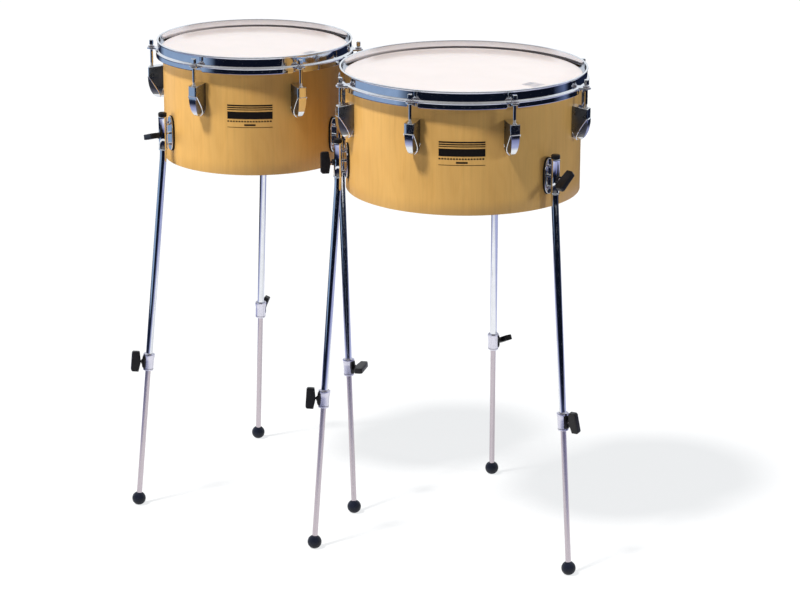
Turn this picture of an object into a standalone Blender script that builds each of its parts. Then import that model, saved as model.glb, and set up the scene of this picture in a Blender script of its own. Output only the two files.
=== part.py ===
"""Two single-headed drums on three telescopic legs each. Metres, +Z up.

The frame: +X runs from the small drum to the large one, Z = 0 is the floor.
Angles are degrees counter-clockwise from +X, seen from above.
"""
import math

import bmesh
import bpy
from mathutils import Matrix, Vector

# ---------------------------------------------------------------- dimensions
GAP = 0.0003                    # clearance between pieces that touch
DRUM_SEGMENTS = 48
RIM_TOP = 0.8515                # top of both counterhoops above the floor

# the small drum's centre, which puts the whole box's centre over the origin
SMALL_X, SHIFT_Y = -0.27083, -0.02497
CENTRE_DISTANCE = 0.436
SMALL_RADIUS = 0.1651           # 13 in shell
LARGE_RADIUS = 0.2032           # 16 in shell
SMALL_LUG_ANGLES = [30 + 60 * k for k in range(6)]
LARGE_LUG_ANGLES = [7.5 + 45 * k for k in range(8)]
# leg name: (bracket angle, swivel of the bend from radial, turn of the upper
# wing, turn of the lower wing, turn of the collar about the tube)
SMALL_LEGS = {
    "left": (240.0, 0.0, 106.0, 0.0, -18.0),
    "right": (0.0, -37.0, 20.0, -80.0, 50.0),
    "rear": (120.0, 22.0, 90.0, 20.0, -34.0),
}
LARGE_LEGS = {
    "left": (225.0, 35.0, 6.0, 0.0, -45.0),
    "right": (345.0, -13.0, -48.0, 12.0, 20.0),
    "rear": (105.0, 14.0, 70.0, 60.0, -58.0),
}

SHELL_HEIGHT = 0.1999
SHELL_WALL = 0.008
FILM_DROP = 0.0125              # film top below the rim top
FILM_THICKNESS = 0.0008
FLESH_TOP, FLESH_BOTTOM = 0.0213, 0.0290
FLESH_INNER, FLESH_OUTER = 0.0006, 0.0082

ROD_OFFSET = 0.0215             # tension rod circle outside the shell
ROD_RADIUS = 0.0028
ROD_HEAD, ROD_HEAD_TOP = 0.0075, 0.0132
EAR_TOP, EAR_BOTTOM = 0.0186, 0.0216
EAR_RADIUS = 0.0080
EAR_HOLE = 0.0036
LUG_TOP, LUG_HEIGHT = 0.0505, 0.060
LUG_WIDTH, LUG_DEPTH = 0.018, 0.0278
LUG_BORE = 0.0034

SLEEVE_OFFSET = 0.018           # leg sleeve axis outside the shell
SLEEVE_RADIUS = 0.0073
SLEEVE_BORE = 0.0068
SLEEVE_TOP, SLEEVE_BOTTOM = 0.7260, 0.6650
PLATE_HEIGHT, PLATE_WIDTH, PLATE_THICKNESS = 0.064, 0.024, 0.0045
PLATE_FULLNESS = 0.78           # 1 is a plain ellipse, 0 a rectangle
WEB_HEIGHTS = (0.7110, 0.6945, 0.6750)

BEND_HEIGHT = 0.6545
FOOT_OUT = 0.065                # foot centre outside the sleeve axis
FOOT_RADIUS = 0.0125
FOOT_CENTRE = 0.0118
TUBE_RADIUS = 0.00615
TUBE_BORE = 0.0053
CAP_RADIUS, CAP_HEIGHT = 0.0084, 0.0072
COLLAR_TOP, COLLAR_BOTTOM = 0.2880, 0.2570
COLLAR_FLARE, COLLAR_RADIUS = 0.0106, 0.0094
ROD_LEG_RADIUS = 0.0049
ROD_LEG_HIDDEN = 0.160          # lower rod inside the tube at rest
ROUND_SIDES = 12

WING_SCREW_RADIUS = 0.0025
WING_HOLE = 0.0030
UPPER_WING_HEIGHT = 0.6920
LOWER_WING_HEIGHT = 0.2725
WING_LENGTH, WING_DEPTH, WING_THICKNESS = 0.0376, 0.0165, 0.0100
UPPER_WING_START, LOWER_WING_START = 0.0138, 0.0150
BOSS_RADIUS = 0.0052

LEG_TILT = math.atan2(FOOT_OUT, BEND_HEIGHT - FOOT_CENTRE)
LEG_LENGTH = math.hypot(FOOT_OUT, BEND_HEIGHT - FOOT_CENTRE)

MATERIALS = {
    "birch": ((0.78, 0.56, 0.32), 0.0, 0.35),
    "chrome": ((0.86, 0.87, 0.88), 1.0, 0.10),
    "film": ((0.92, 0.88, 0.82), 0.0, 0.30),
    "black_plastic": ((0.02, 0.02, 0.022), 0.0, 0.40),
    "rubber": ((0.015, 0.016, 0.02), 0.0, 0.60),
}


# ------------------------------------------------------------------- helpers
def clear_scene():
    for ob in list(bpy.data.objects):
        bpy.data.objects.remove(ob, do_unlink=True)


def make_materials():
    made = {}
    for name, (colour, metallic, roughness) in MATERIALS.items():
        mat = bpy.data.materials.new(name)
        mat.use_nodes = True
        shader = mat.node_tree.nodes["Principled BSDF"]
        shader.inputs["Base Color"].default_value = (*colour, 1.0)
        shader.inputs["Metallic"].default_value = metallic
        shader.inputs["Roughness"].default_value = roughness
        made[name] = mat
    return made


def collection(name):
    group = bpy.data.collections.new(name)
    bpy.context.scene.collection.children.link(group)
    return group


def turn(angle):
    return Matrix.Rotation(math.radians(angle), 4, "Z")


def at(x, y, z, angle=0.0):
    return Matrix.Translation((x, y, z)) @ turn(angle)


def add_object(name, bm, matrix, group, material=None, hidden=False):
    bmesh.ops.recalc_face_normals(bm, faces=bm.faces[:])
    mesh = bpy.data.meshes.new(name)
    bm.to_mesh(mesh)
    bm.free()
    ob = bpy.data.objects.new(name, mesh)
    ob.matrix_world = matrix
    ob.hide_render = hidden
    group.objects.link(ob)
    if material:
        mesh.materials.append(material)
    return ob


def boolean(ob, other, operation):
    mod = ob.modifiers.new(other.name, "BOOLEAN")
    mod.object = other
    mod.operation = operation
    mod.solver = "EXACT"


def cone(bm, r1, r2, length, matrix, sides=ROUND_SIDES):
    """Closed cone or cylinder centred on the matrix, along its Z."""
    bmesh.ops.create_cone(bm, cap_ends=True, segments=sides, radius1=r1,
                          radius2=r2, depth=length, matrix=matrix)


def rod_between(bm, radius, start, end, sides=ROUND_SIDES):
    start, end = Vector(start), Vector(end)
    along = end - start
    spin = along.to_track_quat("Z", "Y").to_matrix().to_4x4()
    cone(bm, radius, radius, along.length,
         Matrix.Translation((start + end) / 2) @ spin, sides)


def box(bm, size, matrix):
    scale = Matrix.Diagonal((*size, 1.0))
    bmesh.ops.create_cube(bm, size=1.0, matrix=matrix @ scale)


def prism(bm, outline, thickness, matrix):
    """Outline in the local XZ plane, extruded both ways along Y."""
    half = thickness / 2
    front = [bm.verts.new(matrix @ Vector((x, -half, z))) for x, z in outline]
    back = [bm.verts.new(matrix @ Vector((x, half, z))) for x, z in outline]
    bm.faces.new(front)
    bm.faces.new(list(reversed(back)))
    count = len(outline)
    for i in range(count):
        j = (i + 1) % count
        bm.faces.new((front[i], back[i], back[j], front[j]))


def turned(name, profile, centre, group, material, closed=True):
    """Screw a profile of (radius, height) points about the drum's axis."""
    bm = bmesh.new()
    verts = [bm.verts.new((r, 0.0, z)) for r, z in profile]
    for a, b in zip(verts, verts[1:]):
        bm.edges.new((a, b))
    if closed:
        bm.edges.new((verts[-1], verts[0]))
    ob = add_object(name, bm, at(*centre), group, material)
    mod = ob.modifiers.new("screw", "SCREW")
    mod.steps = mod.render_steps = DRUM_SEGMENTS
    mod.use_merge_vertices = True
    mod.merge_threshold = 0.00001
    mod.use_normal_calculate = True
    mod.use_normal_flip = not closed
    return ob


def sweep(bm, stations, sides=ROUND_SIDES):
    """Closed tube through (point, tilt, radius) stations in the XZ plane."""
    rings = []
    for (x, z), tilt, radius in stations:
        ring = []
        for k in range(sides):
            turn_k = 2 * math.pi * (k + 0.5) / sides
            a, b = radius * math.cos(turn_k), radius * math.sin(turn_k)
            ring.append(bm.verts.new((x + a * math.cos(tilt), b,
                                      z + a * math.sin(tilt))))
        rings.append(ring)
    for low, high in zip(rings, rings[1:]):
        for k in range(sides):
            n = (k + 1) % sides
            bm.faces.new((low[k], low[n], high[n], high[k]))
    bm.faces.new(list(reversed(rings[0])))
    bm.faces.new(rings[-1])


def on_leg(height):
    """Point on the leg's lower axis at a height, in the sleeve frame."""
    return ((BEND_HEIGHT - height) * math.tan(LEG_TILT), height - BEND_HEIGHT)


def straight(height, radius):
    return (on_leg(height), LEG_TILT, radius)


# -------------------------------------------------------------------- drums
def lug_outline():
    """Side view of a lug casing: chamfered top, rounded belly and heel."""
    top, d = RIM_TOP - LUG_TOP, LUG_DEPTH
    outline = [(-0.003, top), (0.014, top), (d, top - 0.0050), (d, top - 0.030)]
    for k in range(1, 5):
        a = math.radians(90 * k / 5)
        outline.append((0.010 + (d - 0.010) * math.cos(a),
                        top - 0.030 - (LUG_HEIGHT - 0.030) * math.sin(a)))
    outline += [(0.010, top - LUG_HEIGHT), (0.003, top - LUG_HEIGHT),
                (-0.003, top - LUG_HEIGHT + 0.004)]
    return outline


def add_shell(name, radius, centre, angles, parts, cutters, material):
    top = RIM_TOP - FILM_DROP - FILM_THICKNESS - GAP
    bottom = top - SHELL_HEIGHT
    inner = radius - SHELL_WALL
    shell = turned(name, [
        (inner, bottom), (radius, bottom), (radius, top - 0.002),
        (radius - 0.0015, top), (radius - 0.004, top), (inner, top - 0.003),
    ], centre, parts, material)
    casings, bores = bmesh.new(), bmesh.new()
    for angle in angles:
        prism(casings, lug_outline(), LUG_WIDTH, turn(angle) @ at(radius, 0, 0))
        middle = RIM_TOP - LUG_TOP - 0.012
        cone(bores, LUG_BORE, LUG_BORE, 0.028,
             turn(angle) @ at(radius + ROD_OFFSET, 0, middle))
    boolean(shell, add_object(name + "_lug_casings", casings, at(*centre),
                              cutters, hidden=True), "UNION")
    boolean(shell, add_object(name + "_lug_bores", bores, at(*centre),
                              cutters, hidden=True), "DIFFERENCE")
    return shell


def add_head(name, radius, centre, parts, material):
    film = RIM_TOP - FILM_DROP
    under = film - FILM_THICKNESS
    skin = radius + FLESH_INNER + 0.0012
    return turned(name, [
        (0.0, film), (radius + 0.0006, film), (skin, film - 0.0012),
        (skin, RIM_TOP - FLESH_TOP), (radius + FLESH_OUTER, RIM_TOP - FLESH_TOP),
        (radius + FLESH_OUTER, RIM_TOP - FLESH_BOTTOM),
        (radius + FLESH_INNER, RIM_TOP - FLESH_BOTTOM),
        (radius + FLESH_INNER, under - 0.0010), (radius, under), (0.0, under),
    ], centre, parts, material, closed=False)


def add_hoop(name, radius, centre, angles, parts, cutters, material):
    section = [
        (0.0066, -0.0006), (0.0080, 0.0), (0.0103, -0.0004), (0.0105, -0.0018),
        (0.0094, -0.0030), (0.0092, -0.0178), (0.0124, -0.0190),
        (0.0124, -0.0222), (0.0122, -0.0305), (0.0102, -0.0305),
        (0.0094, -0.0210), (0.0066, -0.0210),
    ]
    hoop = turned(name, [(radius + r, RIM_TOP + z) for r, z in section],
                  centre, parts, material)
    ears, holes = bmesh.new(), bmesh.new()
    thick = EAR_BOTTOM - EAR_TOP
    middle = RIM_TOP - (EAR_TOP + EAR_BOTTOM) / 2
    for angle in angles:
        outline = [(radius + 0.0110, -EAR_RADIUS - 0.004)]
        for k in range(9):
            a = math.radians(-90 + 22.5 * k)
            outline.append((radius + ROD_OFFSET + EAR_RADIUS * math.cos(a),
                            EAR_RADIUS * math.sin(a)))
        outline.append((radius + 0.0110, EAR_RADIUS + 0.004))
        flat = turn(angle) @ Matrix.Translation((0, 0, middle))
        prism(ears, outline, thick, flat @ Matrix.Rotation(-math.pi / 2, 4, "X"))
        cone(holes, EAR_HOLE, EAR_HOLE, 0.02,
             turn(angle) @ at(radius + ROD_OFFSET, 0, middle))
    boolean(hoop, add_object(name + "_ears", ears, at(*centre), cutters,
                             hidden=True), "UNION")
    boolean(hoop, add_object(name + "_ear_holes", holes, at(*centre), cutters,
                             hidden=True), "DIFFERENCE")
    return hoop


def add_tension_rod(name, radius, centre, angle, parts, material):
    """Square head, washer and one long shank that enters the lug."""
    bm = bmesh.new()
    washer = RIM_TOP - EAR_TOP + GAP
    side = ROD_HEAD / math.sqrt(2)
    stack = [
        (side, 4, ROD_HEAD_TOP, 0.0015), (0.0058, 12, 0.0015, 0.0),
        (ROD_RADIUS, 12, 0.0, -0.0520),
    ]
    rings = []
    for r, sides, top, low in stack:
        for z in (top, low):
            rings.append((r, sides, z))
    shaft = add_object(name, stacked(bm, rings), turn(0), parts, material)
    place = at(*centre) @ turn(angle) @ at(radius + ROD_OFFSET, 0, washer)
    shaft.matrix_world = place
    return shaft


def stacked(bm, rings):
    """One closed body of coaxial discs whose rims all have 12 points."""
    loops = []
    for r, sides, z in rings:
        loop = []
        for k in range(12):
            a = 2 * math.pi * k / 12
            reach = r
            if sides == 4:
                fold = (a + math.pi / 4) % (math.pi / 2) - math.pi / 4
                reach = r * 0.78 / max(math.cos(fold), 0.78)
            loop.append(bm.verts.new((reach * math.cos(a), reach * math.sin(a), z)))
        loops.append(loop)
    for high, low in zip(loops, loops[1:]):
        for k in range(12):
            n = (k + 1) % 12
            bm.faces.new((low[k], low[n], high[n], high[k]))
    bm.faces.new(loops[0])
    bm.faces.new(list(reversed(loops[-1])))
    return bm


# --------------------------------------------------------------------- legs
def add_bracket(name, radius, frame, parts, cutters, material):
    """Oval plate on the shell, three webs, vertical sleeve with a boss."""
    plate = bmesh.new()
    centre_z = (SLEEVE_TOP + SLEEVE_BOTTOM) / 2 - 0.0015
    outline = []
    for k in range(20):
        a = 2 * math.pi * (k + 0.5) / 20
        c, s = math.cos(a), math.sin(a)
        outline.append((math.copysign(abs(c) ** PLATE_FULLNESS, c) * PLATE_WIDTH / 2,
                        math.copysign(abs(s) ** PLATE_FULLNESS, s) * PLATE_HEIGHT / 2))
    standing = frame @ at(radius + 0.0004 + PLATE_THICKNESS / 2, 0, centre_z, 90)
    prism(plate, outline, PLATE_THICKNESS, standing)
    bracket = add_object(name, plate, frame @ at(radius, 0, 0), parts, material)
    bracket.data.transform((frame @ at(radius, 0, 0)).inverted())

    axis = radius + SLEEVE_OFFSET
    extras = bmesh.new()
    for z in WEB_HEIGHTS:
        box(extras, (0.0105, 0.006, 0.0035), frame @ at(radius + 0.0080, 0, z))
    webs = add_object(name + "_webs", extras, turn(0), cutters, hidden=True)
    boolean(bracket, webs, "UNION")
    sleeve = bmesh.new()
    middle = (SLEEVE_TOP + SLEEVE_BOTTOM) / 2
    cone(sleeve, SLEEVE_RADIUS + 0.0004, SLEEVE_RADIUS + 0.0004,
         SLEEVE_TOP - SLEEVE_BOTTOM, frame @ at(axis, 0, middle), 16)
    boolean(bracket, add_object(name + "_sleeve", sleeve, turn(0), cutters,
                                hidden=True), "UNION")
    boss = bmesh.new()
    rod_between(boss, BOSS_RADIUS, frame @ Vector((axis, 0, UPPER_WING_HEIGHT)),
                frame @ Vector((axis + 0.0105, 0, UPPER_WING_HEIGHT)))
    boolean(bracket, add_object(name + "_boss", boss, turn(0), cutters,
                                hidden=True), "UNION")
    bores = bmesh.new()
    cone(bores, SLEEVE_BORE, SLEEVE_BORE, 0.08, frame @ at(axis, 0, middle), 16)
    boolean(bracket, add_object(name + "_bore", bores, turn(0), cutters,
                                hidden=True), "DIFFERENCE")
    hole = bmesh.new()
    rod_between(hole, WING_HOLE, frame @ Vector((axis, 0, UPPER_WING_HEIGHT)),
                frame @ Vector((axis + 0.02, 0, UPPER_WING_HEIGHT)))
    boolean(bracket, add_object(name + "_hole", hole, turn(0), cutters,
                                hidden=True), "DIFFERENCE")
    screws = bmesh.new()
    for y in (-0.0062, 0.0062):
        for z in (-0.0190, 0.0190):
            start = frame @ Vector((radius + 0.003, y, centre_z + z))
            end = frame @ Vector((radius + 0.0065, y, centre_z + z))
            rod_between(screws, 0.0026, start, end, 8)
    boolean(bracket, add_object(name + "_screws", screws, turn(0), cutters,
                                hidden=True), "UNION")
    return bracket


def collar_out(turned_by):
    """Direction of the collar's screw, square to the leg, in its frame."""
    along = Vector((math.sin(LEG_TILT), 0, -math.cos(LEG_TILT)))
    out = Vector((math.cos(LEG_TILT), 0, math.sin(LEG_TILT)))
    return Matrix.Rotation(math.radians(-turned_by), 3, along) @ out


def add_upper_leg(name, frame, collar_turn, parts, cutters, material):
    """Capped tube, bent under the sleeve, with the clamp collar on its end."""
    cap_top = SLEEVE_TOP + GAP + CAP_HEIGHT - BEND_HEIGHT
    cap_low = SLEEVE_TOP + GAP - BEND_HEIGHT
    stations = [
        ((0, cap_top), 0, CAP_RADIUS - 0.0012), ((0, cap_top - 0.001), 0, CAP_RADIUS),
        ((0, cap_low), 0, CAP_RADIUS - 0.0004), ((0, cap_low), 0, TUBE_RADIUS),
        ((0, 0.006), 0, TUBE_RADIUS), ((0.0002, 0), LEG_TILT / 2, TUBE_RADIUS),
        straight(BEND_HEIGHT - 0.006, TUBE_RADIUS),
        straight(COLLAR_TOP, TUBE_RADIUS), straight(COLLAR_TOP, COLLAR_FLARE),
        straight(COLLAR_TOP - 0.004, COLLAR_FLARE - 0.0002),
        straight(COLLAR_TOP - 0.011, COLLAR_RADIUS),
        straight(COLLAR_BOTTOM, COLLAR_RADIUS - 0.0003),
    ]
    tube = bmesh.new()
    sweep(tube, list(reversed(stations)))
    leg = add_object(name, tube, frame, parts, material)
    out = collar_out(collar_turn)
    x, z = on_leg(LOWER_WING_HEIGHT)
    start = Vector((x, 0, z))
    boss = bmesh.new()
    rod_between(boss, BOSS_RADIUS, start + out * 0.0080, start + out * 0.0132)
    boolean(leg, add_object(name + "_boss", boss, frame, cutters, hidden=True),
            "UNION")
    bore = bmesh.new()
    sweep(bore, [straight(COLLAR_BOTTOM - 0.02, TUBE_BORE),
                 straight(BEND_HEIGHT - 0.010, TUBE_BORE)])
    boolean(leg, add_object(name + "_bore", bore, frame, cutters, hidden=True),
            "DIFFERENCE")
    hole = bmesh.new()
    rod_between(hole, WING_HOLE, start, start + out * 0.02)
    boolean(leg, add_object(name + "_hole", hole, frame, cutters, hidden=True),
            "DIFFERENCE")
    return leg


def add_lower_leg(name, frame, parts, material):
    rod = bmesh.new()
    hidden_top = COLLAR_BOTTOM + ROD_LEG_HIDDEN * math.cos(LEG_TILT)
    sweep(rod, [straight(FOOT_CENTRE - 0.0020, ROD_LEG_RADIUS),
                straight(hidden_top, ROD_LEG_RADIUS)])
    return add_object(name, rod, frame, parts, material)


def add_foot(name, frame, parts, cutters, material):
    """Rubber ball with a small flat on the floor and a socket for the rod."""
    x, z = on_leg(FOOT_CENTRE)
    ball = bmesh.new()
    place = frame @ Matrix.Translation((x, 0, z))
    bmesh.ops.create_uvsphere(ball, u_segments=14, v_segments=9,
                              radius=FOOT_RADIUS)
    cut = bmesh.ops.bisect_plane(ball, geom=ball.verts[:] + ball.edges[:] + ball.faces[:],
                                 plane_co=(0, 0, -FOOT_CENTRE), plane_no=(0, 0, -1),
                                 clear_outer=True)
    rim = [e for e in cut["geom_cut"] if isinstance(e, bmesh.types.BMEdge)]
    bmesh.ops.contextual_create(ball, geom=rim)
    foot = add_object(name, ball, place, parts, material)
    socket = bmesh.new()
    sweep(socket, [straight(FOOT_CENTRE - 0.0020 - GAP, ROD_LEG_RADIUS + 0.0004),
                   straight(FOOT_CENTRE + 0.03, ROD_LEG_RADIUS + 0.0004)])
    boolean(foot, add_object(name + "_socket", socket, frame, cutters,
                             hidden=True), "DIFFERENCE")
    return foot


def add_wing_screw(name, matrix, shank, parts, cutters, material):
    """Wing screw along local X, from the pin's tip at X = 0.

    The wing is a flat block with its outer corners cut.
    """
    outline = []
    half, depth = WING_LENGTH / 2, WING_DEPTH
    for x, z in ((0.0, -0.14), (0.16, -1.0), (0.86, -1.0), (1.0, -0.86),
                 (1.0, 0.86), (0.86, 1.0), (0.16, 1.0), (0.0, 0.14)):
        outline.append((shank + x * depth, z * half))
    paddle = bmesh.new()
    prism(paddle, outline, WING_THICKNESS, Matrix.Identity(4))
    wing = add_object(name, paddle, matrix, parts, material)
    pin = bmesh.new()
    rod_between(pin, WING_SCREW_RADIUS, (0, 0, 0), (shank + 0.0040, 0, 0), 10)
    boolean(wing, add_object(name + "_pin", pin, matrix, cutters, hidden=True),
            "UNION")
    return wing


def add_leg(drum, side, radius, centre, spec, parts, cutters, mats):
    angle, swivel, upper_turn, lower_turn, collar_turn = spec
    radial = at(*centre) @ turn(angle)
    name = f"{drum}_{side}"
    add_bracket(name + "_leg_bracket", radius, radial, parts, cutters,
                mats["chrome"])
    axis = radius + SLEEVE_OFFSET
    frame = radial @ at(axis, 0, BEND_HEIGHT, swivel)
    add_upper_leg(name + "_upper_leg", frame, collar_turn, parts, cutters,
                  mats["chrome"])
    add_lower_leg(name + "_lower_leg", frame, parts, mats["chrome"])
    add_foot(name + "_foot", frame, parts, cutters, mats["rubber"])

    tip = TUBE_RADIUS + 0.0004
    spin = Matrix.Rotation(math.radians(upper_turn), 4, "X")
    add_wing_screw(name + "_bracket_wing_screw",
                   radial @ at(axis + tip, 0, UPPER_WING_HEIGHT) @ spin,
                   UPPER_WING_START - tip, parts, cutters, mats["black_plastic"])
    x, z = on_leg(LOWER_WING_HEIGHT)
    tip = ROD_LEG_RADIUS + 0.0004
    lean = Matrix.Rotation(-LEG_TILT, 4, "Y") @ turn(collar_turn)
    spin = Matrix.Rotation(math.radians(lower_turn), 4, "X")
    add_wing_screw(name + "_collar_wing_screw",
                   frame @ Matrix.Translation((x, 0, z)) @ lean
                   @ Matrix.Translation((tip, 0, 0)) @ spin,
                   LOWER_WING_START - tip, parts, cutters, mats["black_plastic"])


def add_drum(drum, radius, centre, angles, legs, parts, cutters, mats):
    add_shell(drum + "_shell", radius, centre, angles, parts, cutters,
              mats["birch"])
    add_head(drum + "_head", radius, centre, parts, mats["film"])
    add_hoop(drum + "_counterhoop", radius, centre, angles, parts, cutters,
             mats["chrome"])
    for number, angle in enumerate(angles, 1):
        add_tension_rod(f"{drum}_tension_rod_{number}", radius, centre, angle,
                        parts, mats["chrome"])
    for side, spec in legs.items():
        add_leg(drum, side, radius, centre, spec, parts, cutters, mats)


def main():
    clear_scene()
    mats = make_materials()
    parts, cutters = collection("timbales"), collection("cutters")
    small = (SMALL_X, SHIFT_Y, 0.0)
    large = (SMALL_X + CENTRE_DISTANCE, SHIFT_Y, 0.0)
    add_drum("small", SMALL_RADIUS, small, SMALL_LUG_ANGLES, SMALL_LEGS,
             parts, cutters, mats)
    add_drum("large", LARGE_RADIUS, large, LARGE_LUG_ANGLES, LARGE_LEGS,
             parts, cutters, mats)


main()
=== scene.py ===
"""Timbales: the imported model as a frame, with detailed pieces and materials."""
import math

import bmesh
import bpy
from mathutils import Matrix, Vector

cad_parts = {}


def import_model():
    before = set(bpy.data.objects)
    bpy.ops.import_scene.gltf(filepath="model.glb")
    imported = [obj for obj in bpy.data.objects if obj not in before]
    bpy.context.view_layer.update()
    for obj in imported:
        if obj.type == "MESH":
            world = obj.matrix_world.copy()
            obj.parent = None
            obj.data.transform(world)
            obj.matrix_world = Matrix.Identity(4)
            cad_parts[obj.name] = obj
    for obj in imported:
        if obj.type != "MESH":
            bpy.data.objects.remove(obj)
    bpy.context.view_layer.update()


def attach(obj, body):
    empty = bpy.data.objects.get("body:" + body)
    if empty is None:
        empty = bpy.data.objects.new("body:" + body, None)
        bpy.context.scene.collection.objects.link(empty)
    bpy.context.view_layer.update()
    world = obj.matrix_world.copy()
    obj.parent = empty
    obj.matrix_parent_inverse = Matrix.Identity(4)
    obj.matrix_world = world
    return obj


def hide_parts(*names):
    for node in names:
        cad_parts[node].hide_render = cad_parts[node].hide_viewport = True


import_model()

# ---------------------------------------------------------- dimensions in metres
# Most are the CAD model's; the casings, sleeves and wings are up to 0.6 mm off it.
# A leg has its place on the shell, its swivel, the turns of its upper and lower
# wings and the turn of its collar, in degrees; a mark has its place and its inset.
RIM_TOP = 0.8515
FILM_DROP = 0.0125
SMALL_X, SHIFT_Y, CENTRE_DISTANCE = -0.27083, -0.02497, 0.436
DRUMS = {
    "small": dict(radius=0.1651, centre=(SMALL_X, SHIFT_Y),
                  lugs=[30 + 60 * k for k in range(6)],
                  badge=301.3, badge_half=0.040, mark=(357, 0.035),
                  legs=dict(left=(240, 0, 106, 0, -18), right=(0, -37, 20, -80, 50),
                            rear=(120, 22, 90, 20, -34))),
    "large": dict(radius=0.2032, centre=(SMALL_X + CENTRE_DISTANCE, SHIFT_Y),
                  lugs=[7.5 + 45 * k for k in range(8)],
                  badge=300.0, badge_half=0.039, mark=(351, 0.052),
                  legs=dict(left=(225, 35, 6, 0, -45),
                            right=(345, -13, -48, 12, 20),
                            rear=(105, 14, 70, 60, -58))),
}
SHELL_TOP, SHELL_BOTTOM, SHELL_WALL = 0.8379, 0.6380, 0.008
LUG_TOP, LUG_DEPTH, LUG_HEIGHT, LUG_HALF = RIM_TOP - 0.0505, 0.0284, 0.060, 0.0088
LUG_STEP, HEEL_DROP, KEEL_DEPTH = 0.0220, 0.042, 0.0100
LUG_ROUND, LUG_EDGE, LUG_SLOPE, LUG_FACE = 0.0007, 0.0016, 0.0042, 0.0076
ROD_CIRCLE = 0.0215
EAR_TOP, EAR_BOTTOM = RIM_TOP - 0.0186, RIM_TOP - 0.0216
SLEEVE_OFFSET, SLEEVE_R = 0.018, 0.0077
SLEEVE_TOP, SLEEVE_BOTTOM = 0.7260, 0.6650
PLATE_Z, PLATE_H, PLATE_W, PLATE_FULLNESS = 0.6940, 0.064, 0.024, 0.78
WEBS = (0.7110, 0.6945, 0.6750)
BEND_Z, FOOT_OUT, FOOT_Z, FOOT_R = 0.6545, 0.065, 0.0118, 0.0125
TUBE_R, LOWER_R = 0.00615, 0.0049
COLLAR_TOP, COLLAR_BOTTOM = 0.2880, 0.2570
UPPER_WING_Z, LOWER_WING_Z = 0.6920, 0.2725
UPPER_WING_START, LOWER_WING_START = 0.0138, 0.0150
WING_DEPTH, WING_HALF, WING_THICK = 0.0165, 0.0188, 0.0096
TILT = math.atan2(FOOT_OUT, BEND_Z - FOOT_Z)
SCREW_GAP = 0.0004                      # from a screw's tip to what it clamps
BEND_RUN = 0.016                        # height that the bend of a leg takes
BADGE_TOP = 0.765
RING = 160                              # sides of the drums' turned pieces


# ------------------------------------------------------------------ materials
class Graph:
    """Short calls for building a tree of shader nodes."""

    def __init__(self, tree):
        self.tree = tree

    def node(self, kind, **settings):
        made = self.tree.nodes.new(kind)
        for key, value in settings.items():
            setattr(made, key, value)
        return made

    def put(self, socket, value):
        if isinstance(value, bpy.types.NodeSocket):
            self.tree.links.new(value, socket)
        else:
            socket.default_value = value

    def math(self, operation, *values):
        made = self.node("ShaderNodeMath", operation=operation)
        for socket, value in zip(made.inputs, values):
            self.put(socket, value)
        return made.outputs[0]

    def combine(self, x, y, z=0.0):
        made = self.node("ShaderNodeCombineXYZ")
        for socket, value in zip(made.inputs, (x, y, z)):
            self.put(socket, value)
        return made.outputs[0]

    def noise(self, vector, scale, detail=2.0, rough=0.5):
        made = self.node("ShaderNodeTexNoise")
        self.put(made.inputs["Vector"], vector)
        self.put(made.inputs["Scale"], scale)
        self.put(made.inputs["Detail"], detail)
        self.put(made.inputs["Roughness"], rough)
        return made.outputs["Fac"]

    def ramp(self, value, *stops):
        made = self.node("ShaderNodeValToRGB")
        ramp = made.color_ramp
        while len(ramp.elements) < len(stops):
            ramp.elements.new(0.5)
        for element, (place, colour) in zip(ramp.elements, stops):
            element.position = place
            element.color = (*colour, 1.0) if len(colour) == 3 else colour
        self.put(made.inputs[0], value)
        return made.outputs[0]

    def mix(self, factor, a, b, blend="MIX"):
        made = self.node("ShaderNodeMix", data_type="RGBA", blend_type=blend)
        self.put(made.inputs[0], factor)
        self.put(made.inputs[6], a)
        self.put(made.inputs[7], b)
        return made.outputs[2]

    def place(self):
        return self.node("ShaderNodeTexCoord").outputs["Object"]

    def split(self, vector):
        made = self.node("ShaderNodeSeparateXYZ")
        self.put(made.inputs[0], vector)
        return made.outputs

    def reach(self, x, y):
        """Distance from the Z axis."""
        return self.math("SQRT", self.math("ADD", self.math("MULTIPLY", x, x),
                                           self.math("MULTIPLY", y, y)))


class Material(Graph):
    """A new material, built round its Principled shader."""

    def __init__(self, name):
        self.material = bpy.data.materials.new(name)
        self.material.use_nodes = True
        super().__init__(self.material.node_tree)
        self.shader = self.tree.nodes["Principled BSDF"]

    def bump(self, height, strength, distance):
        made = self.node("ShaderNodeBump")
        self.put(made.inputs["Strength"], strength)
        self.put(made.inputs["Distance"], distance)
        self.put(made.inputs["Height"], height)
        self.put(self.shader.inputs["Normal"], made.outputs[0])

    def set(self, **values):
        for key, value in values.items():
            name = key.replace("_", " ")
            self.put(self.shader.inputs[name], value)


def grey(value):
    return (value, value, value)


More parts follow.
